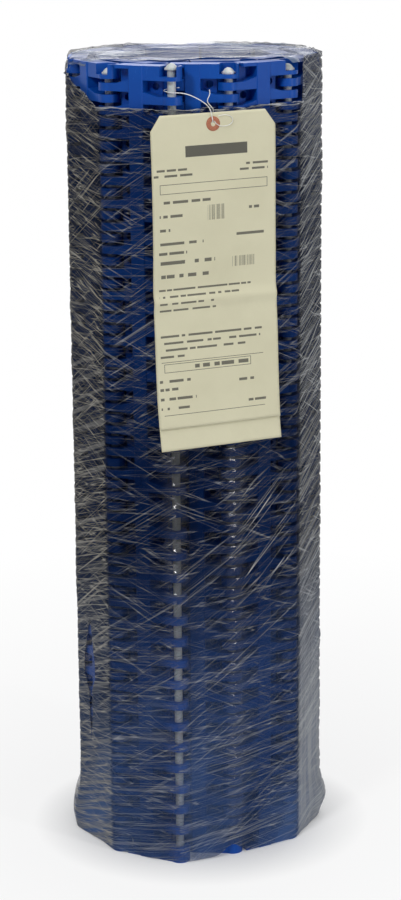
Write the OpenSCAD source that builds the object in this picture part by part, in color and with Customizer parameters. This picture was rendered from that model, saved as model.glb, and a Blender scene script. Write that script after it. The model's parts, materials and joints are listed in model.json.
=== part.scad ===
// A section of modular plastic conveyor belt, rolled up on its edge and held by stretch film.
// Rows of bricklaid modules hinge on full-width rods. The deck faces the middle of the roll,
// and the drive bars and links of the underside face outwards.

/* [Belt] */
// Hinge to hinge length of one row
pitch = 50.8; // [49:0.1:53]
// Links side by side across the belt
links = 36; // [18:9:36]
// Width that one link takes across the belt
link_pitch = 16.93; // [16.5:0.01:18]
// Diameter of a hinge knuckle, which is the belt's thickness
knuckle_d = 15.24; // [14:0.02:15.6]
// Thickness of the deck plate
deck_t = 4.5; // [3:0.1:6]
// Clear space between a deck edge and the next row's knuckle
deck_gap = 1; // [0.6:0.1:2]

/* [Links] */
// Thickness of a link at its knuckle, across the belt
finger_w = 5.7; // [5:0.1:6]
// How far a link widens upwards where it meets the drive bar
flare_up = 3.6; // [1:0.1:4]
// Step from the knuckle's top down to the link's outer edge
finger_step = 0.7; // [0.3:0.1:2]
// Width of the drive bar
bar_w = 11.5; // [9:0.1:13]
// Chamfer along the drive bar's outer corners
bar_chamfer = 0.6; // [0.3:0.1:0.7]
// Gap between neighbouring modules of one row
seam = 0.4; // [0.2:0.1:0.8]

/* [Deck mesh] */
// Diameter of the mesh holes through the deck
mesh_d = 5.6; // [2:0.1:7]

/* [Edges] */
// From the belt's edge down to the seat of a rod head
head_seat = 7.6; // [6.5:0.1:8.5]
// Thickness of the edge link under the head
seat_t = 2.8; // [2:0.1:4]
// Thickness of the wall along the belt's edge
edge_wall = 2.5; // [1.5:0.1:4]
// Space around a rod head in its recess
head_room = 1.1; // [0.6:0.1:1.6]

/* [Rods] */
// Diameter of a hinge rod
rod_d = 6.1; // [5:0.1:7]
// Radial play of a rod in the knuckles
rod_play = 0.3; // [0.2:0.05:0.5]
// Diameter of a rod head
head_d = 10.2; // [9:0.1:10.6]
// Height of a rod head
head_h = 4.5; // [3:0.1:5.5]
// Space under a rod head at its seat
seat_play = 0.2; // [0.1:0.1:0.5]
// How far the loose joining rod stands up out of its seat
rod_lift = 5; // [0.5:0.5:8]
// From the lower edge of the belt up to a rod's tail
tail_in = 2; // [1:0.5:5]

/* [Roll] */
// Distance of the belt's outer end hinge from the roll's axis
roll_r = 98; // [96:0.5:110]
// How much closer the belt lies after one turn
roll_step = 20; // [19.8:0.1:24]
// Direction in which the outer end lies
roll_start = -102.5; // [-140:0.5:-60]
// How far the outermost row turns in further, to lie against the turn below it
end_tuck = 3; // [0:0.5:3]

/* [Film] */
// Thickness of the wound stretch film
film_t = 0.4; // [0.3:0.1:0.8]
// Space between the knuckles and the film
film_gap = 0.5; // [0.3:0.1:1]
// Depth of the bare window at the upper front edge
window_d = 29; // [15:1:60]
// Half width of that window
window_w = 74; // [50:1:80]

/* [Tag] */
// Width of the tag card
tag_w = 96; // [85:1:105]
// Height of the tag card
tag_h = 228; // [180:1:245]
// Height of the copy sheet behind it
copy_h = 250; // [185:1:270]
// Thickness of the card and of the sheet
tag_t = 0.4; // [0.3:0.1:0.8]
// Size of the card's cut upper corners
tag_corner = 11; // [5:1:30]
// From the belt's upper edge down to the card
tag_drop = 33; // [30:1:45]
// How far the card reaches past the outer end hinge
tag_back = 21.5; // [8:0.5:25]
// Diameter of the tag's eyelet hole
eyelet_d = 5; // [4:0.5:8]
// From the card's upper edge down to the eyelet
eyelet_drop = 8; // [7:0.5:16]
// Diameter of the round patch around the eyelet
patch_d = 12; // [9:0.5:13]
// Diameter of the tag's wire
wire_d = 1; // [0.8:0.1:1.4]
// Radius of the wire's loop around the joining rod
loop_r = 5.4; // [5:0.1:5.8]

/* [Hidden] */
ROWS = 20;

function two(n) = n < 10 ? str("0", n) : str(n);
function row_name(n) = str("belt_row_", two(n));
function rod_name(n) = str("hinge_rod_", two(n));

belt_w = links * link_pitch;
knuckle_r = knuckle_d / 2;
bore_r = rod_d / 2 + rod_play;
recess_r = head_d / 2 + head_room;
// The deck and the links' inner edges lie just inside the knuckles
inner_y = -knuckle_r + 0.32;
finger_y = knuckle_r - finger_step;
deck_start = knuckle_r + deck_gap;
bar_start = (pitch - bar_w) / 2;
block_t = head_seat + seat_t;
film_r = knuckle_r + film_gap;
film_z = 1;
cap_z = belt_w + 0.9;
// Outer faces of the film, the copy sheet, the card and its patch, from the outer end hinge
film_face = film_r + film_t;
copy_face = film_face + wire_d + 0.5 + tag_t;
card_face = copy_face + 0.3 + tag_t;
patch_face = card_face + tag_t;
smooth = 48;

// ---- The roll: hinge points on a spiral, one pitch apart ----

// Angle between two hinges one pitch apart, where the first lies at radius r
function turn(r, a) =
    2 * asin(sqrt((pitch ^ 2 - (roll_step * a / 360) ^ 2) / (4 * r * (r - roll_step * a / 360))));
function settle(r, a, passes) = passes == 0 ? a : settle(r, turn(r, a), passes - 1);
function step_in(h) =
    let (a = settle(h[0], 2 * asin(pitch / (2 * h[0])), 16)) [h[0] - roll_step * a / 360, h[1] - a];
turns = [for (n = 0, h = [roll_r, roll_start]; n <= ROWS; n = n + 1, h = step_in(h)) h];
wound = [for (h = turns) [h[0] * cos(h[1]), h[0] * sin(h[1])]];
end_row = wound[0] - wound[1];
spiral = [
    wound[1] + cos(end_tuck) * end_row + sin(end_tuck) * [-end_row[1], end_row[0]],
    for (n = [1:ROWS]) wound[n]
];

function heading(a, b) = atan2(b[1] - a[1], b[0] - a[0]);
function outward(a, b) = [-(b[1] - a[1]), b[0] - a[0]] / norm(b - a);
// Rows of the outer turn, up to the last hinge that still stands out of it
function stands_out(n) = turns[n][1] > roll_start - 360
    && cross(spiral[n] - spiral[n - 1], spiral[0] - spiral[n]) < 0;
outer = max([for (n = [3:ROWS]) if (stands_out(n)) n]);

// The corner that a skin makes round hinge b, at distance r from it, between hinges a and c
function corner(a, b, c, r) =
    let (u = outward(a, b), v = outward(b, c)) [b + r * u, b + r * (u + v) / norm(u + v), b + r * v];
// The skin round the outer turn, which runs straight from its last hinge to its first
function around(r) = [
    for (n = [0:outer])
        each corner(spiral[(n + outer) % (outer + 1)], spiral[n], spiral[(n + 1) % (outer + 1)], r)
];
function middle(points, axis) =
    (min([for (p = points) p[axis]]) + max([for (p = points) p[axis]])) / 2;

// A point off the straight stretch, x from the first hinge along it and y outwards
function off_stretch(x, y) =
    spiral[0] + x * (spiral[outer] - spiral[0]) / norm(spiral[outer] - spiral[0])
    + y * outward(spiral[outer], spiral[0]);

// The origin is the middle of the foot, under the roll and its tag
extent = concat(
    around(film_face),
    [off_stretch(-tag_back, patch_face), off_stretch(tag_w - tag_back, patch_face)]
);
centre = [middle(extent, 0), middle(extent, 1)];
hinge = [for (p = spiral) p - centre];
function around_roll(r) = [for (p = around(r)) p - centre];

// ---- Belt rows ----

// Height of link number n on the side towards the outer end, and on the other side
function near_z(n) = belt_w - head_seat - n * link_pitch;
function far_z(n) = near_z(n) - link_pitch / 2;
// Height of the seam above link number n, on each side of the drive bar
function near_seam(n) = near_z(n - 1) - (link_pitch - flare_up) / 2;
function far_seam(n) = near_seam(n) - link_pitch / 2;

// The drive bar and the deck, seen along the rods
module row_profile() {
    bar_end = pitch - bar_start;
    deck_end = pitch - deck_start;
    deck_y = inner_y + deck_t;
    polygon([
        [deck_start, inner_y],
        [deck_end, inner_y],
        [deck_end, deck_y],
        [bar_end, deck_y],
        [bar_end, knuckle_r - bar_chamfer],
        [bar_end - bar_chamfer, knuckle_r],
        [bar_start + bar_chamfer, knuckle_r],
        [bar_start, knuckle_r - bar_chamfer],
        [bar_start, deck_y],
        [deck_start, deck_y]
    ]);
}

// One link: a knuckle and its arm, which flares into the drive bar
module link() {
    straight = deck_start + 0.4;
    root = bar_start + 2;
    half = finger_w / 2;
    cylinder(r = knuckle_r, h = finger_w, center = true, $fn = smooth);
    translate([0, finger_y, 0])
        rotate([90, 0, 0])
            linear_extrude(finger_y - inner_y)
                polygon([
                    [0, -half],
                    [root, -half],
                    [root, half + flare_up],
                    [straight, half],
                    [0, half]
                ]);
}

// The thick link at a corner of the belt, standing on height z
module edge_link(z, h) {
    translate([0, 0, z]) {
        cylinder(r = knuckle_r, h = h, $fn = smooth);
        translate([0, inner_y, 0])
            cube([bar_start + 2, finger_y - inner_y, h]);
    }
}

// The wall along the belt's edge on the side that has no edge link
module edge_wall(z) {
    translate([bar_start - 0.5 + bar_w, inner_y, z])
        cube([pitch - deck_start - bar_start - bar_w + 0.5, finger_y - inner_y, edge_wall]);
}

// The room for a rod head, open towards the outside
module head_recess() {
    translate([0, 0, belt_w - head_seat]) {
        cylinder(r = recess_r, h = head_seat + 1, $fn = smooth);
        translate([-recess_r, 0, 0])
            cube([2 * recess_r, knuckle_d, head_seat + 1]);
    }
}

// The mesh hole through the deck, in the pocket above link height z
module mesh_hole(z) {
    free = link_pitch - finger_w - flare_up / 2;
    translate([(deck_start + bar_start) / 2, inner_y + deck_t + 1, z + (link_pitch + flare_up / 2) / 2])
        rotate([90, 0, 0])
            cylinder(d = min(mesh_d, free - 1), h = deck_t + 2, $fn = smooth);
}

module far_side() {
    translate([pitch, 0, 0])
        mirror([1, 0, 0])
            children();
}

// One moulded module that holds the links from first up to, but not with, last
module belt_module(first, last) {
    top = first == 0 ? belt_w : near_seam(first) - seam / 2;
    bottom = last == links ? 0 : far_seam(last) + seam / 2;
    far_last = min(last, links - 1);
    difference() {
        union() {
            translate([0, 0, bottom])
                linear_extrude(top - bottom)
                    row_profile();
            for (n = [max(first, 1):last - 1])
                if (n < links - 1)
                    translate([0, 0, near_z(n)])
                        link();
            for (n = [first:far_last - 1])
                translate([0, 0, far_z(n)])
                    far_side()
                        link();
            if (first == 0) {
                edge_link(belt_w - block_t, block_t);
                edge_wall(belt_w - edge_wall);
            }
            if (last == links) {
                edge_link(0, near_z(links - 1) + finger_w / 2);
                edge_wall(0);
            }
        }
        for (x = [0, pitch])
            translate([x, 0, bottom - 1])
                cylinder(r = bore_r, h = top - bottom + 2, $fn = smooth);
        if (first == 0)
            head_recess();
        else
            translate([pitch / 2 - seam / 2, -knuckle_d, far_seam(first) - seam / 2])
                cube([pitch, 2 * knuckle_d, link_pitch]);
        if (last < links)
            translate([pitch / 2 + seam / 2 - pitch, -knuckle_d, near_seam(last) + seam / 2 - link_pitch])
                cube([pitch, 2 * knuckle_d, link_pitch]);
        for (n = [first + 1:last - 1]) {
            mesh_hole(near_z(n));
            if (n < links - 1)
                far_side()
                    mesh_hole(far_z(n));
        }
    }
}

// Rows alternate between two and three modules, as bricks are laid
function seams(n) = n % 2 == 1
    ? [0, links / 2, links]
    : [0, floor(links / 4), links - floor(links / 4), links];

// Puts a row, or what it carries, in its place in the roll
module in_roll(n) {
    translate([hinge[n - 1][0], hinge[n - 1][1], 0])
        rotate([0, 0, heading(hinge[n - 1], hinge[n])])
            children();
}

module belt_row(n) {
    ends = seams(n);
    color("royalblue")
        in_roll(n)
            for (m = [0:len(ends) - 2])
                belt_module(ends[m], ends[m + 1]);
}

// ---- Rods ----

// A rod with its moulded head, seated in the edge link
module headed_rod(lift) {
    seat = belt_w - head_seat + lift;
    dome = head_h - 2.6;
    rim = head_d / 2 - 1.6;
    ball = (rim ^ 2 + dome ^ 2) / (2 * dome);
    translate([0, 0, tail_in + lift])
        cylinder(d = rod_d, h = belt_w - head_seat - tail_in + 0.5, $fn = smooth);
    translate([0, 0, seat])
        cylinder(d = head_d, h = 1.2, $fn = smooth);
    translate([0, 0, seat + 1.2])
        cylinder(d1 = head_d - 0.8, d2 = 2 * rim, h = head_h - dome - 1.2, $fn = smooth);
    translate([0, 0, seat + head_h - dome])
        intersection() {
            translate([0, 0, dome - ball])
                sphere(r = ball, $fn = smooth);
            cylinder(r = rim, h = dome + 1, $fn = smooth);
        }
}

module hinge_rod(n) {
    color("gainsboro")
        in_roll(n)
            headed_rod(seat_play);
}

module joining_rod() {
    color("gainsboro")
        in_roll(1)
            headed_rod(rod_lift);
}

// ---- Stretch film ----

module side_film() {
    color("lightslategray")
        difference() {
            translate([0, 0, film_z])
                linear_extrude(belt_w - film_z)
                    difference() {
                        polygon(around_roll(film_face));
                        polygon(around_roll(film_r));
                    }
            translate([-window_w, -2 * roll_r, belt_w - window_d])
                cube([2 * window_w, 1.4 * roll_r, window_d + 1]);
        }
}

// The film gathered over the roll's end, short of the bare upper front edge
module top_film() {
    bare_y = -roll_r / 2;
    color("silver")
        translate([0, 0, cap_z])
            linear_extrude(film_t)
                difference() {
                    polygon(around_roll(film_face));
                    difference() {
                        translate([-2 * roll_r, bare_y - 2 * roll_r])
                            square([4 * roll_r, 2 * roll_r]);
                        translate(-centre)
                            circle(r = roll_r - roll_step, $fn = smooth);
                    }
                }
}

// ---- Tag ----

// The tag lies flat on the film between the belt's outer end and the turn below it.
// Its own x runs from that end along the film, y points outwards and z up.
module on_film() {
    translate([hinge[0][0], hinge[0][1], 0])
        rotate([0, 0, heading(hinge[outer], hinge[0])])
            mirror([1, 0, 0])
                children();
}

eyelet_x = tag_w / 2 - tag_back;
eyelet_z = belt_w - tag_drop - eyelet_drop;

// A sheet with cut upper corners and the eyelet hole, h high
module tag_sheet(h) {
    left = -tag_back;
    right = tag_w - tag_back;
    top = belt_w - tag_drop;
    rotate([90, 0, 0])
        linear_extrude(tag_t)
            difference() {
                polygon([
                    [left, top - h],
                    [right, top - h],
                    [right, top - tag_corner],
                    [right - 0.7 * tag_corner, top],
                    [left + 0.7 * tag_corner, top],
                    [left, top - tag_corner]
                ]);
                translate([eyelet_x, eyelet_z])
                    circle(d = eyelet_d, $fn = smooth);
            }
}

module tag_copy_sheet() {
    color("cornsilk")
        on_film()
            translate([0, copy_face, 0])
                tag_sheet(copy_h);
}

module tag_card() {
    color("cornsilk")
        on_film()
            translate([0, card_face, 0])
                tag_sheet(tag_h);
}

module tag_patch() {
    color("sienna")
        on_film()
            translate([eyelet_x, card_face, eyelet_z])
                rotate([-90, 0, 0])
                    linear_extrude(tag_t)
                        difference() {
                            circle(d = patch_d, $fn = smooth);
                            circle(d = eyelet_d, $fn = smooth);
                        }
}

// A straight piece of wire from a to b, with a slightly wider round bend at a
module wire_piece(a, b) {
    d = b - a;
    translate(a) {
        rotate([0, acos(d[2] / norm(d)), atan2(d[1], d[0])])
            cylinder(d = wire_d, h = norm(d), $fn = 24);
        sphere(d = wire_d + 0.1, $fn = 24);
    }
}

// The wire loops around the joining rod's bare neck, comes down in front of the card,
// passes through the eyelet and climbs behind the card to join itself
module tag_wire() {
    neck = near_z(0) - (seat_t + link_pitch - finger_w / 2) / 2;
    front = patch_face + wire_d;
    behind = film_face + wire_d / 2 + 0.2;
    knot = [eyelet_x - 5, front, belt_w - tag_drop + 4];
    path = [
        [loop_r * cos(45), loop_r * sin(45), neck],
        [9, 8.5, neck - 0.5],
        [15, front, neck - 5],
        knot,
        [eyelet_x - 2, front, eyelet_z + 5],
        [eyelet_x, front - 0.3, eyelet_z],
        [eyelet_x, behind, eyelet_z],
        [eyelet_x, behind, belt_w - tag_drop + 2],
        knot
    ];
    color("white")
        on_film() {
            translate([0, 0, neck])
                rotate_extrude($fn = smooth)
                    translate([loop_r, 0])
                        circle(d = wire_d, $fn = 24);
            for (n = [1:len(path) - 1])
                wire_piece(path[n - 1], path[n]);
        }
}

// ---- Draw ----

for (n = [1:ROWS])
    belt_row(n);
for (n = [2:ROWS])
    hinge_rod(n);
joining_rod();
side_film();
top_film();
tag_card();
tag_copy_sheet();
tag_patch();
tag_wire();
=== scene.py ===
# %% [markdown]
# # A rolled conveyor belt in stretch film
# The frame holds the exact belt: rows of blue plastic modules on milky hinge rods, rolled up and
# standing on their edge. This file gives those rows and rods their finish, and models what a CAD
# solid can't show well: the stretch film, the tag and its wire. The film over the top rides on row
# 10 and the tag with its wire on the tag's body, so they follow the belt when it unrolls; the film
# round the sides is tied to no row.

# %% Load the frame
import json
import math

import bmesh
import bpy
from mathutils import Matrix, Vector, noise


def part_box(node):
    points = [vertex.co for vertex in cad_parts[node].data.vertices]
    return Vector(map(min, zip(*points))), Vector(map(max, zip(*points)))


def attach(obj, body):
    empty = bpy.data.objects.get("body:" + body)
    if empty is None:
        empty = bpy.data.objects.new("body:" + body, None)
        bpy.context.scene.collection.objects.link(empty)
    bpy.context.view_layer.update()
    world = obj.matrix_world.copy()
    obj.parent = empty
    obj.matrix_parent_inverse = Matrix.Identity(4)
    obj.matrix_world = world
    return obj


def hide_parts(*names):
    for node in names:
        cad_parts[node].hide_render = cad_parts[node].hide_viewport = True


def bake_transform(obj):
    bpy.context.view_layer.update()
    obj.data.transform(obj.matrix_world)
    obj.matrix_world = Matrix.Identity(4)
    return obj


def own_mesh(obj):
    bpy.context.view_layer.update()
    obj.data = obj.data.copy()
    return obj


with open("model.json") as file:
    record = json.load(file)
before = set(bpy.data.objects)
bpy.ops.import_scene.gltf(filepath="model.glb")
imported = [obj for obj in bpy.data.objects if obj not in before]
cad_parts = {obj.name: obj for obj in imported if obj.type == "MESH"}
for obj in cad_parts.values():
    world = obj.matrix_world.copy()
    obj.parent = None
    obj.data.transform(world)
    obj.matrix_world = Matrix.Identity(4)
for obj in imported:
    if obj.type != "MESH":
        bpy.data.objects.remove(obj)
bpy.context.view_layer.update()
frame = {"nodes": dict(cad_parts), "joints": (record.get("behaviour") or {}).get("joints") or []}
scene = bpy.context.scene
scene.view_settings.view_transform = "Standard"

# %% [markdown]
# The frame says where each hinge is, so nothing about the roll is measured twice. Row 1 is the
# outermost row; hinge 0 is the free end with the joining rod, and hinge n joins rows n and n + 1.

# %% Where the hinges are
BELT_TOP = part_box("belt_row_01")[1][2]
OUTER = 10  # the last hinge of the outer turn


def middle_of(node):
    low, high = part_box(node)
    return Vector(((low[0] + high[0]) / 2, (low[1] + high[1]) / 2))


hinge_at = {0: middle_of("joining_rod")}
for joint in frame["joints"]:
    if joint["name"].startswith("hinge_"):
        hinge_at[int(joint["name"][6:])] = Vector(joint["pos_m"][:2])
print("hinges", len(hinge_at), "belt top", round(BELT_TOP, 4))

# %% [markdown]
# The camera stands a little above the roll's top and looks down at it, from close by, with a long
# lens: that shows the open links of the top edge and keeps the sides nearly parallel.

# %% Camera
AXIS = Vector((0.0037, 0.0079))  # the middle of the roll, seen from above
CAMERA_AT = Vector((AXIS.x - 0.0017, AXIS.y - 1.80, 0.7706))
LENS_MM = 95.28
LOOK_DOWN = 14.56  # degrees below level
LEAN = -0.5  # degrees about the line of sight


def place_camera():
    camera_data = bpy.data.cameras.new("camera")
    camera_data.sensor_fit = "VERTICAL"
    camera_data.sensor_height = 36
    camera_data.lens = LENS_MM
    camera = bpy.data.objects.new("camera", camera_data)
    scene.collection.objects.link(camera)
    tilt = Matrix.Rotation(math.radians(90 - LOOK_DOWN), 4, "X")
    lean = Matrix.Rotation(math.radians(LEAN), 4, "Z")
    camera.matrix_world = Matrix.Translation(CAMERA_AT) @ tilt @ lean
    scene.camera = camera
    return camera


camera = place_camera()
print("camera at", [round(x, 3) for x in camera.matrix_world.translation])

# %% [markdown]
# A soft lamp on each side, one above and one behind give long, calm highlights on the film. The
# floor and the background are white to the camera, while they light the belt only gently: Light
# Path tells the camera's rays from all others.

# %% Lights
LIT_POINT = Vector((0, 0, 0.3))  # all lamps aim at the middle of the roll


def area_light(name, place, size, power):
    lamp_data = bpy.data.lights.new(name, "AREA")
    lamp_data.shape = "RECTANGLE"
    lamp_data.size, lamp_data.size_y = size
    lamp_data.energy = power
    lamp = bpy.data.objects.new(name, lamp_data)
    scene.collection.objects.link(lamp)
    turn = (LIT_POINT - Vector(place)).to_track_quat("-Z", "Y").to_matrix().to_4x4()
    lamp.matrix_world = Matrix.Translation(place) @ turn
    return lamp


area_light("key", (-0.9, -1.5, 1.7), (0.32, 0.42), 17)
area_light("fill", (1.3, -1.1, 0.9), (0.14, 1.2), 9)
area_light("top", (0.1, -0.1, 1.9), (0.9, 0.9), 9)
area_light("back", (0.3, 1.8, 1.0), (1.6, 1.4), 8)


def white_for_camera(tree, lit):
    """Mixes a shader with plain white, which only the camera and mirror or glass rays see."""
    path = tree.nodes.new("ShaderNodeLightPath")
    seen = path.outputs["Is Camera Ray"]
    for kind in ("Is Transmission Ray", "Is Glossy Ray"):
        either = tree.nodes.new("ShaderNodeMath")
        either.operation = "MAXIMUM"
        tree.links.new(seen, either.inputs[0])
        tree.links.new(path.outputs[kind], either.inputs[1])
        seen = either.outputs[0]
    plain = "ShaderNodeBackground" if lit.type == "BACKGROUND" else "ShaderNodeEmission"
    white = tree.nodes.new(plain)
    white.inputs["Strength"].default_value = 1.0
    white.inputs["Color"].default_value = (1, 1, 1, 1)
    mix = tree.nodes.new("ShaderNodeMixShader")
    tree.links.new(seen, mix.inputs[0])
    tree.links.new(lit.outputs[0], mix.inputs[1])
    tree.links.new(white.outputs[0], mix.inputs[2])
    return mix


def make_world():
    world = bpy.data.worlds.new("studio")
    scene.world = world
    world.use_nodes = True
    lit = world.node_tree.nodes["Background"]
    lit.inputs["Color"].default_value = (0.86, 0.9, 1.0, 1)
    lit.inputs["Strength"].default_value = 0.10
    mix = white_for_camera(world.node_tree, lit)
    world.node_tree.links.new(mix.outputs[0], world.node_tree.nodes["World Output"].inputs[0])


make_world()

# %% [markdown]
# Materials are sums of patterns. To write them as plain Python, a small class wraps a socket and
# turns +, - and * into Math nodes. Every other node comes from one method, which sets the node's
# settings first and then the values or links of its sockets.

# %% Writing shader maths


class Value:
    """A number that changes over the surface."""

    def __init__(self, finish, socket):
        self.finish = finish
        self.socket = socket

    def maths(self, operation, *others):
        return self.finish.node("ShaderNodeMath", {"operation": operation}, {
            n: other for n, other in enumerate((self, *others))
        })

    def __add__(self, other):
        return self.maths("ADD", other)

    def __sub__(self, other):
        return self.maths("SUBTRACT", other)

    def __mul__(self, other):
        return self.maths("MULTIPLY", other)

    def __rsub__(self, other):
        return self.finish.node("ShaderNodeMath", {"operation": "SUBTRACT"}, {0: other, 1: self})

    __radd__ = __add__
    __rmul__ = __mul__

    def over(self, edge):
        return self.maths("GREATER_THAN", edge)

    def under(self, edge):
        return self.maths("LESS_THAN", edge)

    def most(self, other):
        return self.maths("MAXIMUM", other)

    def distance(self, place):
        return (self - place).maths("ABSOLUTE")

    def ramp(self, low, high):
        """0 below low, 1 above high and straight between."""
        return self.finish.node("ShaderNodeMapRange", {"clamp": True}, {0: self, 1: low, 2: high})


class Finish:
    """A material with one Principled shader, and a method that makes its other nodes."""

    def __init__(self, name):
        self.material = bpy.data.materials.new(name)
        self.material.use_nodes = True
        self.tree = self.material.node_tree
        self.shader = self.tree.nodes["Principled BSDF"]

    def node(self, kind, settings=None, sockets=None, out=0):
        made = self.tree.nodes.new(kind)
        for name, setting in (settings or {}).items():
            setattr(made, name, setting)
        for name, value in (sockets or {}).items():
            if isinstance(value, Value):
                self.tree.links.new(value.socket, made.inputs[name])
            else:
                made.inputs[name].default_value = value
        return Value(self, made.outputs[out])

    def place(self, turn=0.0, scale=(1, 1, 1)):
        """The point on the piece, turned about Z and scaled."""
        point = self.node("ShaderNodeTexCoord", out="Object")
        return self.stretched(point, turn, scale)

    def along(self, turn=0.0, scale=(1, 1, 1)):
        """The point on the piece's own flat map, in metres."""
        point = self.node("ShaderNodeUVMap", {"uv_map": "flat"})
        return self.stretched(point, turn, scale)

    def stretched(self, point, turn, scale):
        turned = self.node("ShaderNodeVectorRotate", {"rotation_type": "Z_AXIS"}, {
            "Vector": point, "Angle": math.radians(turn)
        })
        return self.node("ShaderNodeMapping", {}, {"Vector": turned, "Scale": scale})

    def part(self, point, axis):
        return self.node("ShaderNodeSeparateXYZ", {}, {"Vector": point}, out=axis)

    def cloud(self, point, scale, detail, rough=0.5):
        return self.node("ShaderNodeTexNoise", {}, {
            "Vector": point, "Scale": scale, "Detail": detail, "Roughness": rough
        })

    def blend(self, amount, colour, other):
        return self.node("ShaderNodeMix", {"data_type": "RGBA"}, {
            0: amount, 6: colour, 7: other
        }, out=2)

    def bump(self, height, distance, strength):
        return self.node("ShaderNodeBump", {}, {
            "Height": height, "Distance": distance, "Strength": strength
        })

    def set(self, **sockets):
        for name, value in sockets.items():
            socket = self.shader.inputs[name.replace("_", " ")]
            if isinstance(value, Value):
                self.tree.links.new(value.socket, socket)
            else:
                socket.default_value = value


def rgb(red, green, blue):
    return (red, green, blue, 1.0)


print("shader helpers ready")

# %% [markdown]
# The floor is a wide disc. Near the belt it takes the belt's soft shadow, and further out it fades
# to plain white, so that no edge shows where the floor ends and the background begins.

# %% Floor
FLOOR_RADIUS = 4


def make_floor():
    shape = bmesh.new()
    bmesh.ops.create_circle(shape, cap_ends=True, segments=64, radius=FLOOR_RADIUS)
    mesh = bpy.data.meshes.new("floor")
    shape.to_mesh(mesh)
    shape.free()
    floor = bpy.data.objects.new("floor", mesh)
    scene.collection.objects.link(floor)
    finish = Finish("floor_white")
    finish.set(Base_Color=rgb(0.9, 0.9, 0.9), Roughness=0.9)
    away = finish.node("ShaderNodeVectorMath", {"operation": "LENGTH"}, {0: finish.place()}, out=1)
    glow = white_for_camera(finish.tree, finish.shader)
    seen = Value(finish, glow.inputs[0].links[0].from_socket)
    beside_belt, far_off = away.ramp(0.080, 0.135), away.ramp(0.15, 0.75)
    share = seen * (0.1 + beside_belt * 0.72 + far_off * 0.18)
    finish.tree.links.new(share.socket, glow.inputs[0])
    finish.tree.links.new(glow.outputs[0], finish.tree.nodes["Material Output"].inputs[0])
    mesh.materials.append(finish.material)


make_floor()
print("floor ready")

# %% [markdown]
# The modules are moulded blue polypropylene. It isn't one flat blue: the melt leaves broad paler
# clouds, the surface has a fine satin texture, and handling leaves short dull scuffs.

# %% Blue moulded plastic
BLUE_DEEP = rgb(0.002, 0.060, 0.345)
BLUE_CLOUD = rgb(0.004, 0.088, 0.44)
BLUE_SCUFF = rgb(0.08, 0.25, 0.7)


def give(node, material):
    """Every material slot of a CAD node takes the finish."""
    for slot in frame["nodes"][node].material_slots:
        slot.material = material


def blue_plastic():
    finish = Finish("blue_polypropylene")
    clouds = finish.cloud(finish.place(), 22, 3)
    grain = finish.cloud(finish.place(), 1400, 2)
    scuffs = finish.cloud(finish.place(35, (700, 900, 160)), 1, 3).ramp(0.64, 0.74)
    colour = finish.blend(clouds.ramp(0.3, 0.75), BLUE_DEEP, BLUE_CLOUD)
    finish.set(
        Base_Color=finish.blend(scuffs * 0.15, colour, BLUE_SCUFF),
        Roughness=0.34 + scuffs * 0.18 + grain * 0.06,
        Normal=finish.bump(grain, 0.00012, 0.5),
        Specular_IOR_Level=0.22,
    )
    return finish.material


BLUE = blue_plastic()
rows = [name for name in frame["nodes"] if name.startswith("belt_row")]
for name in rows:
    give(name, BLUE)
print("finished", len(rows), "rows")

# %% [markdown]
# The rods are the same plastic without a pigment. It is milky and lets a little light in, which
# Subsurface gives, and it has fine scratches along its length from being pushed into the links.

# %% Milky plastic of the rods
MILKY_DEEP = rgb(0.46, 0.49, 0.48)
MILKY_LIGHT = rgb(0.66, 0.68, 0.66)


def milky_plastic():
    finish = Finish("natural_polypropylene")
    clouds = finish.cloud(finish.place(0, (1, 1, 0.2)), 160, 3)
    scratches = finish.cloud(finish.place(0, (1, 1, 0.03)), 1500, 2)
    finish.set(
        Base_Color=finish.blend(clouds.ramp(0.3, 0.7), MILKY_DEEP, MILKY_LIGHT),
        Roughness=0.3 + scratches * 0.2,
        Normal=finish.bump(scratches, 0.0001, 0.4),
        Subsurface_Weight=0.15,
        Subsurface_Scale=0.002,
    )
    return finish.material


MILKY = milky_plastic()
rods = [name for name in frame["nodes"] if "_rod" in name]
for name in rods:
    give(name, MILKY)
print("finished", len(rods), "rods")

# %% [markdown]
# Stretch film is wound round the outer turn under tension. It lies tight on the links, runs
# straight from the last hinge of the turn to the belt's free end, and sinks a little between one
# link and the next. Its path is worked out once, as a row of points with the direction that
# faces outwards, so every sheet of it can be bent along the same line.

# %% The film's path round the roll
FILM_OFF = 0.0084  # from a hinge's axis to the film over it
CORNER_STEPS = 6


def outward(a, b):
    """The direction that faces out of the roll, across the line from a to b."""
    along = (b - a).normalized()
    return Vector((-along.y, along.x))


def film_corner(n):
    """The round corner of the film over hinge n."""
    count = OUTER + 1
    before, here, after = (hinge_at[(n + k) % count] for k in (-1, 0, 1))
    first, last = outward(before, here), outward(here, after)
    swing = first.angle_signed(last)
    corner = []
    for step in range(CORNER_STEPS + 1):
        turned = first.copy()
        turned.rotate(Matrix.Rotation(-swing * step / CORNER_STEPS, 2))
        corner.append((here + FILM_OFF * turned, turned))
    return corner


class Track:
    """Points along the film with their outward directions, found by distance."""

    def __init__(self, points):
        self.points = points
        self.at = [0.0]
        for (a, _), (b, _) in zip(points, points[1:]):
            self.at.append(self.at[-1] + (b - a).length)
        self.length = self.at[-1]

    def __call__(self, s):
        s = min(max(s, 0.0), self.length - 1e-9)
        n = max(k for k, start in enumerate(self.at) if start <= s)
        n = min(n, len(self.points) - 2)
        share = (s - self.at[n]) / (self.at[n + 1] - self.at[n])
        (a, u), (b, v) = self.points[n], self.points[n + 1]
        return a.lerp(b, share), u.lerp(v, share).normalized()


def whole_path():
    """From the middle of the free end's corner, once round the roll and back to it."""
    half = CORNER_STEPS // 2
    points = film_corner(0)[half:]
    for n in range(1, OUTER + 1):
        points += film_corner(n)
    return Track(points + film_corner(0)[:half + 1])


film_path = whole_path()


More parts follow.
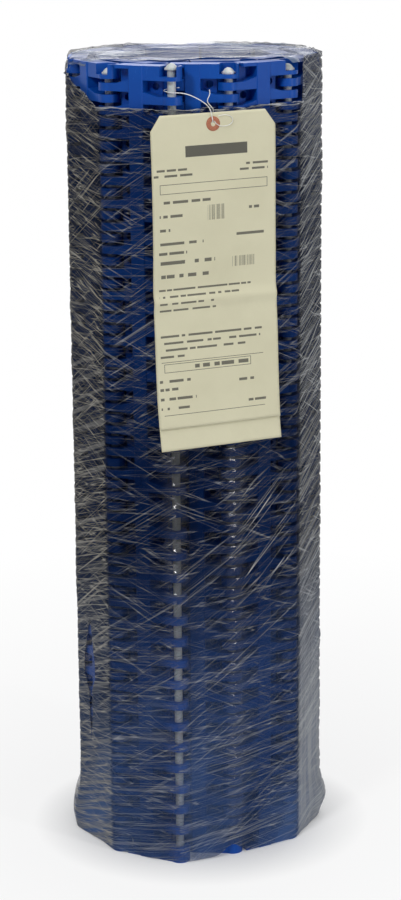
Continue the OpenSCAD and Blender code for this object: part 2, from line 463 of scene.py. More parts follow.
def distance_of(point):
    """How far along the film the place nearest to a point is."""
    steps = [film_path.length * k / 2000 for k in range(2001)]
    return min(steps, key=lambda s: (film_path(s)[0] - point).length)


BACK_S = max(
    (film_path.length * k / 500 for k in range(501)), key=lambda s: film_path(s)[0].y
)
hinge_s = [0.0] + [distance_of(hinge_at[n]) for n in range(1, OUTER + 1)] + [film_path.length]
print("film round the roll:", round(film_path.length, 3), "m")

# %% [markdown]
# Each sheet starts as a flat grid and is rolled into place point by point. The links hold the film
# out at every half link, so between them it hangs in by one or two millimetres: that gives the roll
# its rippled outline. Folds run slantwise, because the roll was turned while the film was wound.
# Near the foot the film is loose and bags out.

# %% How far the film stands off its path
LINK = 0.01693  # from one link to the next along the belt's width
TOP_LINK = BELT_TOP - 0.0076  # the middle of the uppermost link
HALF_FLAT = 0.0030  # half the width of a link where the film lies on it
SINK_AT_HINGE = 0.0014
SINK_AT_END = 0.0022
FOOT_FROM, FOOT_EASE = 0.008, 0.006  # below this height the film doesn't sink
BAG_OUT = 0.008
FLAP_OUT = 0.007


def clamp(share):
    return min(max(share, 0), 1)


def near(value, place, width):
    """1 at a place, falling to 0 a few widths away from it."""
    return math.exp(-(((value - place) / width) ** 2))


def hollow(z, spacing):
    """0 over a link, rising to 1 half way to the next one."""
    nearest = abs((TOP_LINK - z + spacing / 2) % spacing - spacing / 2)
    share = clamp((nearest - HALF_FLAT) / (spacing / 2 - HALF_FLAT))
    return share * share * (3 - 2 * share)


def sunk(s, z):
    """The film sinks between links: each half link at the hinges, each whole one at the ends."""
    at_hinge = max(near(s, h, 0.008) for h in hinge_s[1:-1])
    at_end = near(s, 0, 0.010) + near(s, film_path.length, 0.010)
    depth = SINK_AT_HINGE * hollow(z, LINK / 2) * at_hinge
    depth += SINK_AT_END * hollow(z, LINK) * at_end
    return depth * clamp((z - FOOT_FROM) / FOOT_EASE)


def folds(s, z):
    """Broad and fine slanting folds, which only stand out."""
    broad = noise.noise(Vector((s * 30 + z * 45, z * 14 - s * 6, 2.0)))
    fine = noise.noise(Vector((s * 90 + z * 160, z * 30 - s * 20, 5.0)))
    return 0.0010 * max(broad, 0) + 0.0006 * max(fine, 0) ** 1.5


def slack(s, z):
    """The loose foot: a bag on the left, a flap on the right and an uneven edge."""
    bag_at = (hinge_s[2] + hinge_s[3]) / 2
    flap_at = hinge_s[8] + 0.01
    bag = BAG_OUT * near(s, bag_at, 0.040) * near(z, 0.012, 0.020)
    flap = FLAP_OUT * near(s, flap_at, 0.014) * near(z, 0.020, 0.013)
    uneven = 0.0015 * noise.noise(Vector((s * 60, 0, 9))) * near(z, 0.0, 0.02)
    return bag + flap + uneven


print("film hangs in", round(sunk(hinge_s[5], TOP_LINK - 4.25 * LINK) * 1000, 2), "mm")

# %% [markdown]
# In front the film is torn open below the belt's upper edge, and its torn edge has rolled up into a
# crumpled hem. At its foot it ends just above the floor, and one place is caught up on a link.

# %% The film's edges
TORN_DROP = 0.030  # from the belt's upper edge down to the torn one
HEM_OUT, HEM_REACH = 0.0022, 0.0045  # how far the rolled hem stands out and reaches down


def film_foot(s):
    """The lower edge, ragged, and caught up on a link at one place in front."""
    caught = 0.008 * near(s, hinge_s[10] + 0.004, 0.009)
    return 0.0004 + 0.0005 * (noise.noise(Vector((s * 45, 3, 1))) + 1) + caught


def film_head(s):
    """The upper edge: level with the belt, but torn down across the front."""
    torn = BELT_TOP - TORN_DROP + 0.002 * noise.noise(Vector((s * 70, 8, 1)))
    if s > film_path.length * 0.7:
        step = clamp((s - hinge_s[9] + 0.012) / 0.004)
        return BELT_TOP + 0.0015 + (torn - BELT_TOP - 0.0015) * step
    rise = clamp((s - 0.060) / 0.062)
    full = BELT_TOP - 0.0045 + 0.006 * clamp((s - 0.125) / 0.02)
    full -= 0.006 * near(s, BACK_S, 0.024)
    jagged = 0.05 * noise.noise(Vector((s * 120, 1, 4))) * (rise > 0)
    return torn + (full - torn) * (rise + jagged)


def rolled_hem(s, z):
    """The torn edge is rolled and crumpled, and stands out most at its very end."""
    head = film_head(s)
    if head >= BELT_TOP - 0.009:
        return 0.0
    crumple = noise.noise(Vector((s * 170, z * 420, 7)))
    return (HEM_OUT + HEM_OUT * crumple) * math.exp(-(head - z) / HEM_REACH)


print("film runs from", round(film_foot(0.1), 4), "to", round(film_head(0.2), 4))

# %% [markdown]
# A helper turns a finished bmesh into an object, and another one writes the flat map: each corner
# of a face keeps its place on the unbent sheet, in metres, so that a pattern follows the film.

# %% Making a sheet of film
COLUMN = 0.0025  # width of the grid's columns
SHEET_ROWS = 520


def new_object(name, shape, material):
    mesh = bpy.data.meshes.new(name)
    shape.to_mesh(mesh)
    shape.free()
    mesh.materials.append(material)
    for face in mesh.polygons:
        face.use_smooth = True
    made = bpy.data.objects.new(name, mesh)
    scene.collection.objects.link(made)
    return made


def flat_grid(columns, rows):
    """A grid from 0 to 1 both ways."""
    shape = bmesh.new()
    bmesh.ops.create_grid(shape, x_segments=columns, y_segments=rows, size=0.5)
    bmesh.ops.translate(shape, verts=shape.verts, vec=(0.5, 0.5, 0))
    return shape


def keep_flat_map(shape, flat_place):
    """Writes where each point lay before the sheet was bent."""
    flat = shape.loops.layers.uv.new("flat")
    for face in shape.faces:
        for loop in face.loops:
            loop[flat].uv = flat_place[loop.vert]


def film_sheet(name, start, end, material):
    shape = flat_grid(round((end - start) / COLUMN), SHEET_ROWS)
    flat_place = {}
    hem = shape.verts.layers.float.new("hem")
    for v in shape.verts:
        s = start + (end - start) * v.co.x
        low, high = film_foot(s), film_head(s)
        z = low + (high - low) * v.co.y
        point, away = film_path(s)
        point = point + away * (folds(s, z) - sunk(s, z) + slack(s, z) + rolled_hem(s, z))
        flat_place[v] = (s, z)
        if high < BELT_TOP - 0.001:
            v[hem] = math.exp(-(high - z) / 0.0028)
        v.co = (point.x, point.y, z)
    keep_flat_map(shape, flat_place)
    bmesh.ops.recalc_face_normals(shape, faces=shape.faces)
    return new_object(name, shape, material)


print("grid of", SHEET_ROWS, "rows from foot to head")

# %% [markdown]
# Clear film is hardly seen face on. What shows is the haze of its layers, and the thin bright lines
# where a stretched fold catches the light. All of it is patterns on the film's flat map. On the
# left and right the film is seen edge-on, and the greyer, denser look it has there, from its
# reflection and the longer path through it, is painted into its colour and Alpha. A band at mid
# height is painted darker as shade. So the finish starts with masks, from 0 to 1, for the places
# where the film looks different.

# %% Where the film changes


class StretchFilm(Finish):
    """The film's finish: around is the distance along its path, height the one above the floor."""

    def __init__(self, name):
        super().__init__(name)
        self.around = self.part(self.along(), "X")
        self.height = self.part(self.along(), "Y")
        # left, right and sides mark the faces seen edge-on; the film's greyer, denser look there is
        # painted reflection, put on by place.
        self.left = self.around.ramp(hinge_s[1], hinge_s[1] + 0.004)
        self.left = self.left * self.around.ramp(hinge_s[4] + 0.03, hinge_s[2] + 0.02)
        self.right = self.around.ramp(hinge_s[9] - 0.004, hinge_s[9] - 0.009)
        self.right = self.right * self.around.ramp(hinge_s[6] - 0.03, hinge_s[7] + 0.02)
        self.sides = self.left.most(self.right)
        self.low = 1 - self.height.ramp(0.03, 0.25)
        self.upper = self.height.ramp(0.30, 0.38)
        # Painted shade: a band at mid height, away from the sides, where the dark film covers more
        # and the front looks darker.
        self.painted_shade_band = (1 - self.height.distance(0.275).ramp(0.05, 0.13)) * (1 - self.sides)
        self.haze = self.cloud(self.along(-20, (1, 0.35, 1)), 18, 3).ramp(0.35, 0.7)
        self.patches = self.cloud(self.along(15, (1, 2, 1)), 13, 2)

    def ends(self, outer, inner):
        """1 near both ends of the turn, where the film crosses the joining rod."""
        last = film_path.length
        return self.around.ramp(outer, inner) + self.around.ramp(last - outer, last - inner)


print("left side from", round(hinge_s[1], 3), "right side to", round(hinge_s[9], 3), "m")

# %% [markdown]
# A thread is a thin line drawn out in the direction of winding. Noise that is stretched many times
# longer than wide has long level lines, and those are the threads. Each family of threads has its
# own slant, and its own places where it shows.

# %% Threads


def threads(film, turn, across, length, width, shift=0.0):
    """Thin lines drawn out in one direction: the level lines of stretched noise."""
    point = film.along(turn, (1 / length, 1 / across, 1))
    level = film.cloud(point, 1, 1.5, 0.55)
    return 1 - level.distance(0.5 + shift).ramp(0.0, width)


def thread_lines(film):
    """All families of threads together, from 0 to 1."""
    patches = film.patches
    rising = threads(film, 33, 0.0060, 0.42, 0.010) * patches.ramp(0.38, 0.46)
    rising = rising + threads(film, 36, 0.0048, 0.30, 0.011, 0.06) * patches.ramp(0.46, 0.54)
    steep = threads(film, 24, 0.0034, 0.30, 0.028, 0.04) * film.right
    steep = steep + threads(film, 20, 0.0046, 0.36, 0.016, -0.05) * film.right
    falling = threads(film, -25, 0.0060, 0.24, 0.010) * (1 - patches.ramp(0.46, 0.56))
    level = threads(film, 5, 0.0052, 0.12, 0.014, -0.05)
    level = level + threads(film, -6, 0.0048, 0.09, 0.014, 0.08) * patches.ramp(0.4, 0.5)
    on_left = threads(film, 17, 0.0034, 0.11, 0.024, 0.03) * (1 - film.upper)
    on_left = on_left + threads(film, -13, 0.0034, 0.11, 0.024, 0.05) * film.upper
    drawn = threads(film, 9, 0.0046, 0.22, 0.026) * film.low
    lines = (rising + falling) * (1 - film.low * 0.6) + steep + level * 0.8
    lines = lines + on_left * film.left + drawn * 0.8
    lines = lines * (1 - film.low * 0.2) * (1 - film.painted_shade_band * 0.3)
    return lines.ramp(0.0, 1.1)


def glare_lines(film):
    """Bright threads beside the tag, where the film catches the key light."""
    spot = film.around.distance((hinge_s[9] + hinge_s[10]) / 2).ramp(0.030, 0.012)
    spot = spot * film.height.distance(0.255).ramp(0.055, 0.025)
    return threads(film, 46, 0.0065, 0.30, 0.010, 0.02) * spot


print("threads ready")

# %% [markdown]
# On the sides many layers lie over each other: low down they are milky, in upright folds, and above
# that they show as level bands. The milkiness on the right is partly painted reflection of the film
# seen edge-on. The torn hem is crumpled and nearly white. At the left the film is
# cut open by an upright gash, through which the blue plastic shows.

# %% Haze, bands and tears


def pale_layers_and_reflection(film):
    """How milky the right side is, low down in upright folds and again at the top: partly
    its layers, partly painted reflection of the film seen edge-on.
    """
    upright = film.cloud(film.along(0, (1, 0.06, 1)), 170, 2).ramp(0.35, 0.65)
    low = film.right * film.height.ramp(0.25, 0.09) * (0.45 + upright * 0.5)
    top = film.right * film.height.ramp(0.53, 0.57) * (0.3 + film.haze * 0.7)
    return low, top


def level_bands(film, pale_low):
    bands = film.cloud(film.along(21, (3.5, 230, 1)), 1, 1.5).ramp(0.50, 0.62)
    return bands * film.sides * film.height.ramp(0.46, 0.36) * (1 - pale_low)


def torn_hem(film):
    """Crumpled film along the torn edge. The sheets hold its strength in their hem attribute."""
    crumple = film.cloud(film.along(0, (0.3, 2.4, 1)), 330, 3).ramp(0.42, 0.60)
    hem = film.node("ShaderNodeAttribute", {"attribute_name": "hem"}, out=2)
    return (hem * (0.6 + film.patches * 1.6) * crumple).ramp(0.22, 0.9)


def gash(film):
    """1 inside the gash: its half width at each height, less the distance from its middle."""
    away = film.around.distance(hinge_s[1] * 0.4 + hinge_s[2] * 0.6)
    height = film.height
    half = height.ramp(0.122, 0.134) * 0.0065 + height.ramp(0.079, 0.100) * 0.0025
    return (half * height.ramp(0.183, 0.148) - away).ramp(0.0, 0.0008)


print("haze and tears ready")

# %% [markdown]
# The colours are blended from the deepest layer up: dark film, mist low down, the bands, the milky
# layers, the threads, and last the torn hem. The dark film is painted shade laid over the belt. It
# covers more on the edge-on sides, as painted reflection, and in a band at mid height, and less
# over the joining rod low down. The milky layers on the right are partly painted reflection, and
# the glare beside the tag is a painted highlight. How much each of them covers goes into Alpha. The
# bare film hardly mirrors, so its IOR is low, and only over the columns of knuckles, where it is
# pulled tight, does a coat give sharp glints.

# %% Stretch film finish
# Near-black film colours: painted shade laid over the blue belt, and on the sides also painted dark
# reflection of film seen edge-on.
FILM_SHADE_FRONT = rgb(0.001, 0.002, 0.006)
FILM_SHADE_SIDE = rgb(0.007, 0.010, 0.020)
MIST = rgb(0.080, 0.145, 0.32)
BAND = rgb(0.27, 0.27, 0.265)
MILKY_LAYER_AND_REFLECTION = rgb(0.40, 0.42, 0.45)
THREAD_FRONT = rgb(0.34, 0.35, 0.38)
THREAD_LEFT = rgb(0.46, 0.44, 0.39)
THREAD_RIGHT = rgb(0.46, 0.48, 0.50)
HEM_AND_GLARE_WHITE = rgb(0.66, 0.68, 0.70)


def stretch_film():
    film = StretchFilm("stretch_film")
    haze, low = film.haze, film.low
    lines, bright, torn = thread_lines(film), glare_lines(film), torn_hem(film)
    pale_low, pale_top = pale_layers_and_reflection(film)
    bands = level_bands(film, pale_low)

    # Cover of the dark film: its base is painted shade, the edge-on sides add painted reflection
    # and the mid band deeper painted shade.
    cover = 0.44 + film.sides * 0.28 + bands * 0.12 + haze * 0.08
    cover = cover + low * 0.18 + film.painted_shade_band * 0.16 + lines * 0.46
    # Painted light: over the joining rod, low down, the dark film covers less, so the links there
    # show brighter blue.
    shade_lifted_at_rod = film.ends(0.014, 0.005) * film.height.ramp(0.28, 0.16)
    cover = cover + torn * 0.6 + bright - shade_lifted_at_rod * 0.26

    # Base colour: the near-black film is painted shade, a little lighter on the edge-on sides.
    colour = film.blend(film.sides, FILM_SHADE_FRONT, FILM_SHADE_SIDE)
    colour = film.blend(low * (0.35 + haze * 0.65), colour, MIST)
    colour = film.blend(bands * 0.6, colour, BAND)
    # Milky layers on the right: partly the film's layers, partly painted reflection of the edge-on
    # view.
    colour = film.blend(pale_low + pale_top * 0.5, colour, MILKY_LAYER_AND_REFLECTION)
    thread = film.blend(film.left, THREAD_FRONT, THREAD_LEFT)
    thread = film.blend(film.right, thread, THREAD_RIGHT)
    colour = film.blend(lines * 0.9, colour, thread)
    # The torn hem's own whiteness, together with the painted highlight of the glare beside the tag.
    colour = film.blend((torn * 0.75 + bright).ramp(0.0, 1.0), colour, HEM_AND_GLARE_WHITE)

    tight = film.ends(0.012, 0.004) + film.around.distance(hinge_s[10]).ramp(0.010, 0.004)
    film.set(
        Base_Color=colour,
        Alpha=cover.ramp(0.0, 1.0) * (1 - gash(film) * 0.7),
        Roughness=0.09 + haze * 0.10,
        Normal=film.bump(lines + haze * 0.6, 0.0005, 0.7),
        IOR=1.06,
        Coat_Weight=tight.ramp(0.0, 1.0),
        Coat_Roughness=0.05,
        Coat_IOR=1.32,
    )
    return film.material


FILM = stretch_film()
print("stretch film nodes", len(FILM.node_tree.nodes))

# %% [markdown]
# One sheet of film goes over each hinge of the outer turn.

# %% Wind the film
for n in range(1, OUTER + 1):
    start = 0.0 if n == 1 else (hinge_s[n - 1] + hinge_s[n]) / 2
    end = film_path.length if n == OUTER else (hinge_s[n] + hinge_s[n + 1]) / 2
    sheet = film_sheet("film_side_%02d" % n, start, end, FILM)
    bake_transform(sheet)
    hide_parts("side_film")
    end - start
    print(sheet.name, round(end - start, 3), "m wide")

# %% [markdown]
# Over the roll's end the film is gathered: it is pulled in from the rim in folds, and lies on the
# belt's upper edge. A fine square grid is pushed out to the rim of the roll, so its middle lies on
# the roll's axis and its sides follow the outline. Noise drawn out in one direction raises the
# folds. The part that is torn away is deleted.

# %% The film over the top
BARE_Y = -0.049  # in front of this line the roll's end is bare
CAP_CELLS = 150
RIM_BEND = 0.93  # share of the way out from which the film bends down
RIM_DROP = 0.004
RIM_LAP = 0.0004  # how far it reaches past the side film
rim_points = [film_path(film_path.length * k / 720)[0] for k in range(720)]


def rim_at(angle):
    """The film's distance from the roll's axis in one direction."""
    direction = Vector((math.cos(angle), math.sin(angle)))
    best = max(rim_points, key=lambda p: (p - AXIS).normalized().dot(direction))
    return (best - AXIS).length + RIM_LAP


def cap_height(point):
    """Height of the gathered film over a point of the roll's end."""
    x, y = point
    pull = noise.noise(Vector((x * 9 + y * 6, y * 34, 1.5)))
    crease = 1 - abs(noise.noise(Vector((x * 12 + y * 8, y * 40, 4.5)))) * 3
    fine = abs(noise.noise(Vector((x * 50, y * 120, 6.5))))
    return BELT_TOP + 0.0012 + 0.0012 * pull + 0.0012 * max(crease, 0) + 0.0003 * fine


def inside_cap(point):
    """The film is torn away along the front, and at one place behind."""
    at_back = point.y > 0.093 and abs(point.x - film_path(BACK_S)[0].x) < 0.028
    return not at_back and point.y > BARE_Y + 0.004 * noise.noise(Vector((point.x * 60, 0, 3)))


def top_sheet(material):
    shape = bmesh.new()
    bmesh.ops.create_grid(shape, x_segments=CAP_CELLS, y_segments=CAP_CELLS, size=1)
    flat_place = {}
    for v in shape.verts:
        out = max(abs(v.co.x), abs(v.co.y))
        angle = math.atan2(v.co.y, v.co.x)
        direction = Vector((math.cos(angle), math.sin(angle)))
        point = AXIS + direction * rim_at(angle) * out
        z = cap_height(point)
        if out > RIM_BEND:
            z -= RIM_DROP * ((out - RIM_BEND) / (1 - RIM_BEND)) ** 2
        flat_place[v] = (point.x, point.y)
        v.co = (point.x, point.y, z)
    bare = [f for f in shape.faces if not inside_cap(Vector(f.calc_center_median()[:2]))]
    bmesh.ops.delete(shape, geom=bare, context="FACES")
    keep_flat_map(shape, flat_place)
    return new_object("film_top", shape, material)


nearest_rim = min(rim_at(math.radians(5 * k)) for k in range(72))
print("rim", round(nearest_rim, 4), "m from the axis at its nearest")

# %% [markdown]
# The gathered film is a single loose layer, so it is clearer than the side. Its folds and its torn
# front edge are paler, and they bend the light more. The broad pale patches are painted highlights,
# where the glossy film would mirror the lamps, and the bright folds are partly painted highlights.

# %% Finish of the top film
TOP_CLEAR = rgb(0.012, 0.03, 0.09)
TOP_FOLD_AND_HIGHLIGHT = rgb(0.22, 0.285, 0.39)


def gathered_film():
    finish = Finish("gathered_film")
    # broad marks pale patches that are painted highlights; the level lines are bright folds, partly
    # painted highlights; edge is the paler torn front edge.
    broad = finish.cloud(finish.place(20, (1, 3.2, 1)), 22, 2).ramp(0.52, 0.64)
    level = finish.cloud(finish.place(-18, (1, 7, 1)), 22, 1.5)
    lines = 1 - level.distance(0.5).ramp(0.0, 0.03)
    edge = 1 - finish.part(finish.place(), "Y").ramp(BARE_Y + 0.004, BARE_Y + 0.010)
    light = (broad * 0.8 + lines * 0.6 + edge * 0.8).ramp(0.0, 1.0)
    finish.set(
        Base_Color=finish.blend(light, TOP_CLEAR, TOP_FOLD_AND_HIGHLIGHT),
        Alpha=(0.32 + light * 0.45).ramp(0.0, 1.0),
        Roughness=0.07,
        Normal=finish.bump(broad + lines, 0.0012, 0.9),
        IOR=1.24,
    )
    return finish.material


top = top_sheet(gathered_film())
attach(top, "row_10")
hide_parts("top_film")
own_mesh(top)
print("top film faces", len(top.data.polygons))

# %% [markdown]
# The tag is a long card with cut upper corners, hung by a hole. A thinner copy sheet lies behind it
# and curls at its lower edge. Both are grids laid in the plane of the film's straight stretch, and
# then bent: a shallow fold across the middle, a slight roll along the sides, and the curl. The
# sheets aren't pierced, because the round patch covers the place and its own opening shows there.

# %% The tag's plane
TAG_W = 0.096
CARD_LENGTH = 0.228
COPY_LENGTH = 0.244
TAG_BACK = 0.0215  # how far the tag reaches past the free end's hinge
TAG_TOP = BELT_TOP - 0.033
EYELET_DROP = 0.008  # from the tag's upper edge to the middle of its hole
EYELET = (TAG_W / 2 - TAG_BACK, TAG_TOP - EYELET_DROP)
LEAN_OF_TAG = math.radians(0.9)
FOLD_DROP = 0.135  # how far down the card is folded across
CURL_LENGTH = 0.05
CARD_OUT, CARD_CURL = 0.01195, 0.003  # how far out its plane lies, and its foot's curl
COPY_OUT, COPY_CURL = 0.01090, 0.006
stretch = (hinge_at[OUTER] - hinge_at[0]).normalized()
stretch_out = outward(hinge_at[OUTER], hinge_at[0])


def on_stretch(x, y, z):
    """A point x along the straight stretch of film from the free end, and y outwards."""
    point = hinge_at[0] + stretch * x + stretch_out * y
    return Vector((point.x, point.y, z))


def bent(x, drop, curl, length):
    """How far the sheet stands out of its plane, drop metres below its upper edge."""
    fold = 0.0016 * near(drop, FOLD_DROP, 0.004) - 0.0012 * near(drop, 0.128, 0.02)
    side = 0.0035 * ((x - 0.028) / 0.0475) ** 2 * near(drop, 0.02, 0.08)
    wave = 0.0009 * math.sin(drop * 34 + x * 20)
    low = max(drop - (length - CURL_LENGTH), 0) / CURL_LENGTH
    return fold + side * 0.3 + wave + curl * low**2


def turned(x, drop):
    """The tag hangs a little askew from its eyelet."""
    side, down = x - EYELET[0], drop - EYELET_DROP
    cos, sin = math.cos(LEAN_OF_TAG), math.sin(LEAN_OF_TAG)
    return EYELET[0] + side * cos + down * sin, EYELET_DROP + down * cos - side * sin


off_front = math.degrees(math.atan2(stretch.y, stretch.x))
print("tag faces", round(off_front, 1), "degrees off the front")

# %% [markdown]
# Two cutting planes take the corners off the flat grid before it is bent. Bisecting keeps the cut
# edge straight, where deleting faces would leave steps.

# %% Making a sheet of the tag
CORNER = 0.011  # how far down a cut corner reaches
CORNER_SHARE = 0.7  # its width as a share of that
CORNER_SLOPE = 1.43


def tag_sheet(name, length, out, curl, material):
    shape = flat_grid(48, 120)
    for v in shape.verts:
        v.co = (-TAG_BACK + TAG_W * v.co.x, -length * v.co.y, 0)
    for edge, inward in ((-TAG_BACK, 1), (-TAG_BACK + TAG_W, -1)):
        bmesh.ops.bisect_plane(
            shape,
            geom=shape.verts[:] + shape.edges[:] + shape.faces[:],
            plane_co=(edge + inward * CORNER * CORNER_SHARE, 0, 0),
            plane_no=Vector((-inward * CORNER_SLOPE, 1.0, 0)).normalized(),
            clear_outer=True,
        )
    flat_place = {}
    for v in shape.verts:
        x, drop = v.co.x, -v.co.y
        flat_place[v] = (x + TAG_BACK, drop)
        stand = out + bent(x, drop, curl, length)
        x, drop = turned(x, drop)
        v.co = on_stretch(x, stand, TAG_TOP - drop)
    keep_flat_map(shape, flat_place)
    bmesh.ops.recalc_face_normals(shape, faces=shape.faces)
    return new_object(name, shape, material)


print("tag corners cut", CORNER, "m down")

# %% [markdown]
# The card is cream stock with a form on it. The form here is blank: rules, boxes and grey bars
# stand where a filled form has words. Each is a patch of the flat map, picked out by its middle and
# half size, and the ink is the sum of them.

# %% The printed form
# Each bar is x, y, half width and half height, from the card's upper left corner. The first is the
# solid title bar, and the others are broken up into words.
BARS = [
    (0.050, 0.0265, 0.024, 0.0040), (0.016, 0.039, 0.013, 0.0008),
    (0.016, 0.043, 0.015, 0.0008), (0.079, 0.038, 0.011, 0.0008),
    (0.079, 0.042, 0.011, 0.0008), (0.026, 0.062, 0.020, 0.0010),
    (0.013, 0.072, 0.010, 0.0010), (0.079, 0.070, 0.004, 0.0010),
    (0.009, 0.082, 0.004, 0.0010), (0.022, 0.092, 0.017, 0.0010),
    (0.077, 0.089, 0.012, 0.0010), (0.015, 0.099, 0.011, 0.0010),
    (0.026, 0.106, 0.022, 0.0013), (0.024, 0.116, 0.019, 0.0013),
    (0.040, 0.126, 0.036, 0.0007), (0.036, 0.131, 0.032, 0.0007),
    (0.026, 0.136, 0.022, 0.0007), (0.026, 0.141, 0.022, 0.0007),
    (0.044, 0.160, 0.040, 0.0008), (0.043, 0.165, 0.039, 0.0008),
    (0.037, 0.170, 0.033, 0.0008), (0.012, 0.175, 0.010, 0.0008),
    (0.046, 0.1835, 0.026, 0.0014), (0.014, 0.193, 0.012, 0.0010),
    (0.009, 0.199, 0.007, 0.0010), (0.016, 0.206, 0.014, 0.0010),
    (0.015, 0.213, 0.013, 0.0009), (0.070, 0.197, 0.006, 0.0010),
    (0.078, 0.213, 0.007, 0.0009),
]
STRIPED = [(0.049, 0.0715, 0.0065, 0.0055), (0.070, 0.109, 0.009, 0.0038)]
BOXES = [(0.0475, 0.0525, 0.042, 0.0035), (0.040, 0.1835, 0.034, 0.0032)]
RULES = [(0.044, 0.179, 0.040, 0.0002), (0.044, 0.218, 0.040, 0.0002)]
BOX_LINE = 0.0004


def patch_of(across, down, x, y, half_x, half_y):
    """1 inside a rectangle of the tag, 0 outside."""
    return across.distance(x).under(half_x) * down.distance(y).under(half_y)


def box_of(across, down, x, y, half_x, half_y):
    """1 on the outline of a rectangle."""
    whole = patch_of(across, down, x, y, half_x, half_y)
    return whole - patch_of(across, down, x, y, half_x - BOX_LINE, half_y - BOX_LINE)


def form_ink(finish):
    point = finish.along()
    across, down = finish.part(point, "X"), finish.part(point, "Y")
    small, row = 0, 0
    for n, bar in enumerate(BARS[1:]):
        inside = patch_of(across, down, *bar)
        small = inside + small
        row = inside * (7.3 * n) + row
    place = finish.node("ShaderNodeCombineXYZ", {}, {0: across * 230, 1: row})
    words = finish.cloud(place, 1, 0).over(0.40)
    ink = patch_of(across, down, *BARS[0]) * 0.98 + small * words * 0.9
    stripes = finish.cloud(finish.along(0, (2600, 1, 1)), 1, 0).over(0.5)
    for striped in STRIPED:
        ink = ink + patch_of(across, down, *striped) * stripes * 0.8
    for box in BOXES:
        ink = ink + box_of(across, down, *box)
    for rule in RULES:
        ink = ink + patch_of(across, down, *rule)
    return ink.ramp(0.0, 1.1)


print("form with", len(BARS), "bars")

# %% [markdown]
# Card, patch and wire get plain finishes: fibres and a faint stain in the card, coarser fibres in
# the patch, and a slight twist in the wire's white coat.

# %% Tag finishes
CREAM = rgb(0.765, 0.73, 0.52)
CREAM_STAIN = rgb(0.62, 0.585, 0.40)
INK = rgb(0.02, 0.02, 0.022)


def card_stock(name, printed):
    finish = Finish(name)
    fibres = finish.cloud(finish.along(0, (1, 1.6, 1)), 900, 3)
    stain = finish.cloud(finish.along(), 28, 3).ramp(0.4, 0.8)
    colour = finish.blend(fibres * 0.3 + stain * 0.35, CREAM, CREAM_STAIN)
    if printed:
        colour = finish.blend(form_ink(finish), colour, INK)
    finish.set(
        Base_Color=colour,
        Roughness=0.62 + fibres * 0.12,
        Normal=finish.bump(fibres * 0.05 + stain, 0.0012, 0.6),
    )
    return finish.material


def reddish_patch():
    finish = Finish("fibre_patch")
    fibres = finish.cloud(finish.place(), 1600, 3)
    red, pale_red = rgb(0.36, 0.115, 0.06), rgb(0.52, 0.2, 0.11)
    finish.set(
        Base_Color=finish.blend(fibres.ramp(0.3, 0.7), red, pale_red),
        Roughness=0.7,
        Normal=finish.bump(fibres, 0.0001, 0.6),
    )
    return finish.material


def coated_wire():
    finish = Finish("white_wire")
    twist = finish.cloud(finish.place(30, (1, 1, 3)), 700, 1)
    grey, white = rgb(0.8, 0.8, 0.79), rgb(0.92, 0.92, 0.9)
    finish.set(
        Base_Color=finish.blend(twist.ramp(0.4, 0.6), grey, white),
        Roughness=0.35 + twist * 0.1,
    )
    return finish.material


CARD = card_stock("tag_card_stock", True)
COPY = card_stock("copy_sheet_stock", False)
PATCH = reddish_patch()
WIRE = coated_wire()
print("tag finishes ready")

# %% [markdown]
# Solidify gives both sheets the thickness of card. They ride on the tag's body, so they swing out
# together about the wire loop.

# %% Make the tag
CARD_THICK = 0.00035
card = tag_sheet("tag_card_bent", CARD_LENGTH, CARD_OUT, CARD_CURL, CARD)
copy = tag_sheet("tag_copy_bent", COPY_LENGTH, COPY_OUT, COPY_CURL, COPY)
sheets = ((card, "tag_card", CARD_LENGTH), (copy, "tag_copy_sheet", COPY_LENGTH))
for piece, node, length in sheets:
    wall = piece.modifiers.new("thickness", "SOLIDIFY")
    wall.thickness = CARD_THICK
    wall.offset = 0
    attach(piece, "tag")
    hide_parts(node)
    print(piece.name, TAG_W, "by", length, "m")

# %% [markdown]
# The round patch is a washer of fibre board pressed round the hole. It is spun from its cross
# section, so its edge is softly rounded.

# %% Round patch
WASHER_SECTION = [  # radius and height
    (0.0019, 0), (0.0019, 0.0004), (0.0023, 0.0006),
    (0.0050, 0.0006), (0.0053, 0.0003), (0.0053, 0),
]


def washer():
    shape = bmesh.new()
    verts = [shape.verts.new((r, 0, h)) for r, h in WASHER_SECTION]
    edges = [shape.edges.new((verts[k - 1], verts[k])) for k in range(len(verts))]
    bmesh.ops.spin(
        shape, geom=verts + edges, cent=(0, 0, 0), axis=(0, 0, 1), dvec=(0, 0, 0),
        angle=math.tau, steps=40, use_merge=True, use_duplicate=False,
    )
    bmesh.ops.remove_doubles(shape, verts=shape.verts, dist=1e-6)
    card_face = CARD_OUT + bent(EYELET[0], EYELET_DROP, CARD_CURL, CARD_LENGTH)
    for v in shape.verts:
        x, y, h = v.co
        v.co = on_stretch(EYELET[0] + x, card_face + h, EYELET[1] + y)
    bmesh.ops.recalc_face_normals(shape, faces=shape.faces)
    return new_object("tag_patch_pressed", shape, PATCH)


patch = washer()
print("patch faces", len(patch.data.polygons))

# %% [markdown]
# The wire goes round the joining rod, down in front of the card, in through the eyelet and back up
# behind. A smooth curve with a round bevel is all that it needs. Its loose end is a thinner curl in
# front of the card.

# %% Wire
WIRE_RADIUS = 0.00035
CURL_RADIUS = 0.00025
LOOP_RADIUS = 0.0057
NECK = BELT_TOP - 0.0173  # height of the loop on the rod
FRONT = 0.0138  # how far out the wire runs in front of the card


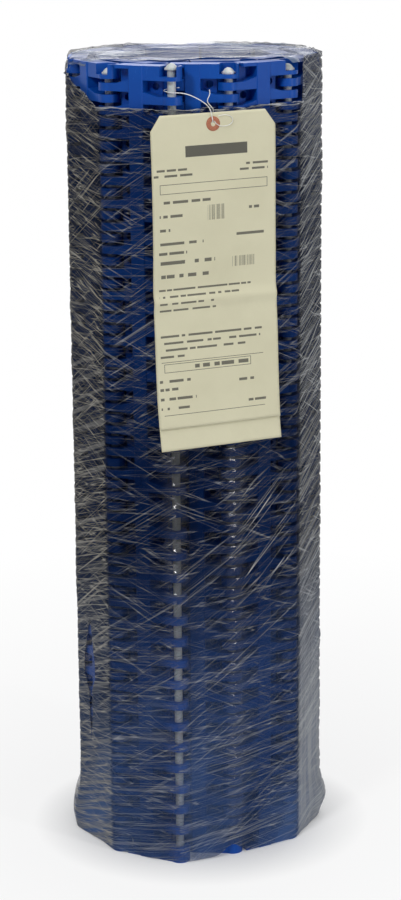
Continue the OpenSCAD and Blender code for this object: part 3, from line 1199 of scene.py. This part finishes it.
def wire_tube(name, points, radius):
    """A round wire along a smooth curve near the points."""
    line = bpy.data.curves.new(name, "CURVE")
    line.dimensions = "3D"
    line.bevel_depth = radius
    line.bevel_resolution = 3
    line.use_fill_caps = True
    path = line.splines.new("NURBS")
    path.points.add(len(points) - 1)
    for spot, point in zip(path.points, points):
        spot.co = (*point, 1)
    path.use_endpoint_u = True
    path.order_u = 4
    path.resolution_u = 6
    made = bpy.data.objects.new(name, line)
    scene.collection.objects.link(made)
    line.materials.append(WIRE)
    return made


def wire_route():
    """Round the joining rod, down in front of the card, through the eyelet and back up."""
    hole_x, hole_z = EYELET
    loop = []
    for k in range(12):
        a = math.radians(60 - 30 * k)
        x, y = LOOP_RADIUS * math.cos(a), LOOP_RADIUS * math.sin(a)
        loop.append((x, y, NECK + 0.0016 + 0.0006 * a))
    down = [
        (0.0045, 0.0075, NECK - 0.0014),
        (0.009, 0.0105, NECK - 0.0024),
        (0.016, FRONT, NECK - 0.006),
        (0.022, FRONT + 0.001, NECK - 0.0105),
        (hole_x - 0.002, FRONT, TAG_TOP + 0.0015),
        (hole_x - 0.0008, FRONT, hole_z + 0.003),
    ]
    through = [
        (hole_x, FRONT - 0.0008, hole_z),
        (hole_x, 0.0100, hole_z + 0.0008),
        (hole_x + 0.001, 0.0096, hole_z + 0.006),
        (hole_x + 0.0012, 0.0105, TAG_TOP + 0.002),
    ]
    back_up = [
        (hole_x - 0.001, FRONT, TAG_TOP + 0.0035),
        (0.022, FRONT - 0.0004, NECK - 0.0085),
        (0.021, FRONT + 0.001, NECK - 0.006),
        (0.0235, FRONT + 0.0022, NECK - 0.002),
        (0.0225, FRONT + 0.002, NECK + 0.001),
    ]
    return [on_stretch(*point) for point in loop + down + through + back_up]


def curl_route():
    """The loose end of the wire, curled in front of the card."""
    route = []
    for k in range(12):
        a = math.radians(180 + 28 * k)
        x, z = 0.008 + 0.0072 * math.cos(a), 0.002 + 0.0042 * math.sin(a)
        route.append(on_stretch(EYELET[0] + x, 0.0136, EYELET[1] + z))
    return route


wire = wire_tube("tag_wire_twisted", wire_route(), WIRE_RADIUS)
curl = wire_tube("tag_wire_end", curl_route(), CURL_RADIUS)
for piece, node in ((patch, "tag_patch"), (wire, "tag_wire"), (curl, "tag_wire")):
    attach(piece, "tag")
    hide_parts(node)
print("tag pieces", [piece.name for piece in (card, copy, patch, wire, curl)])
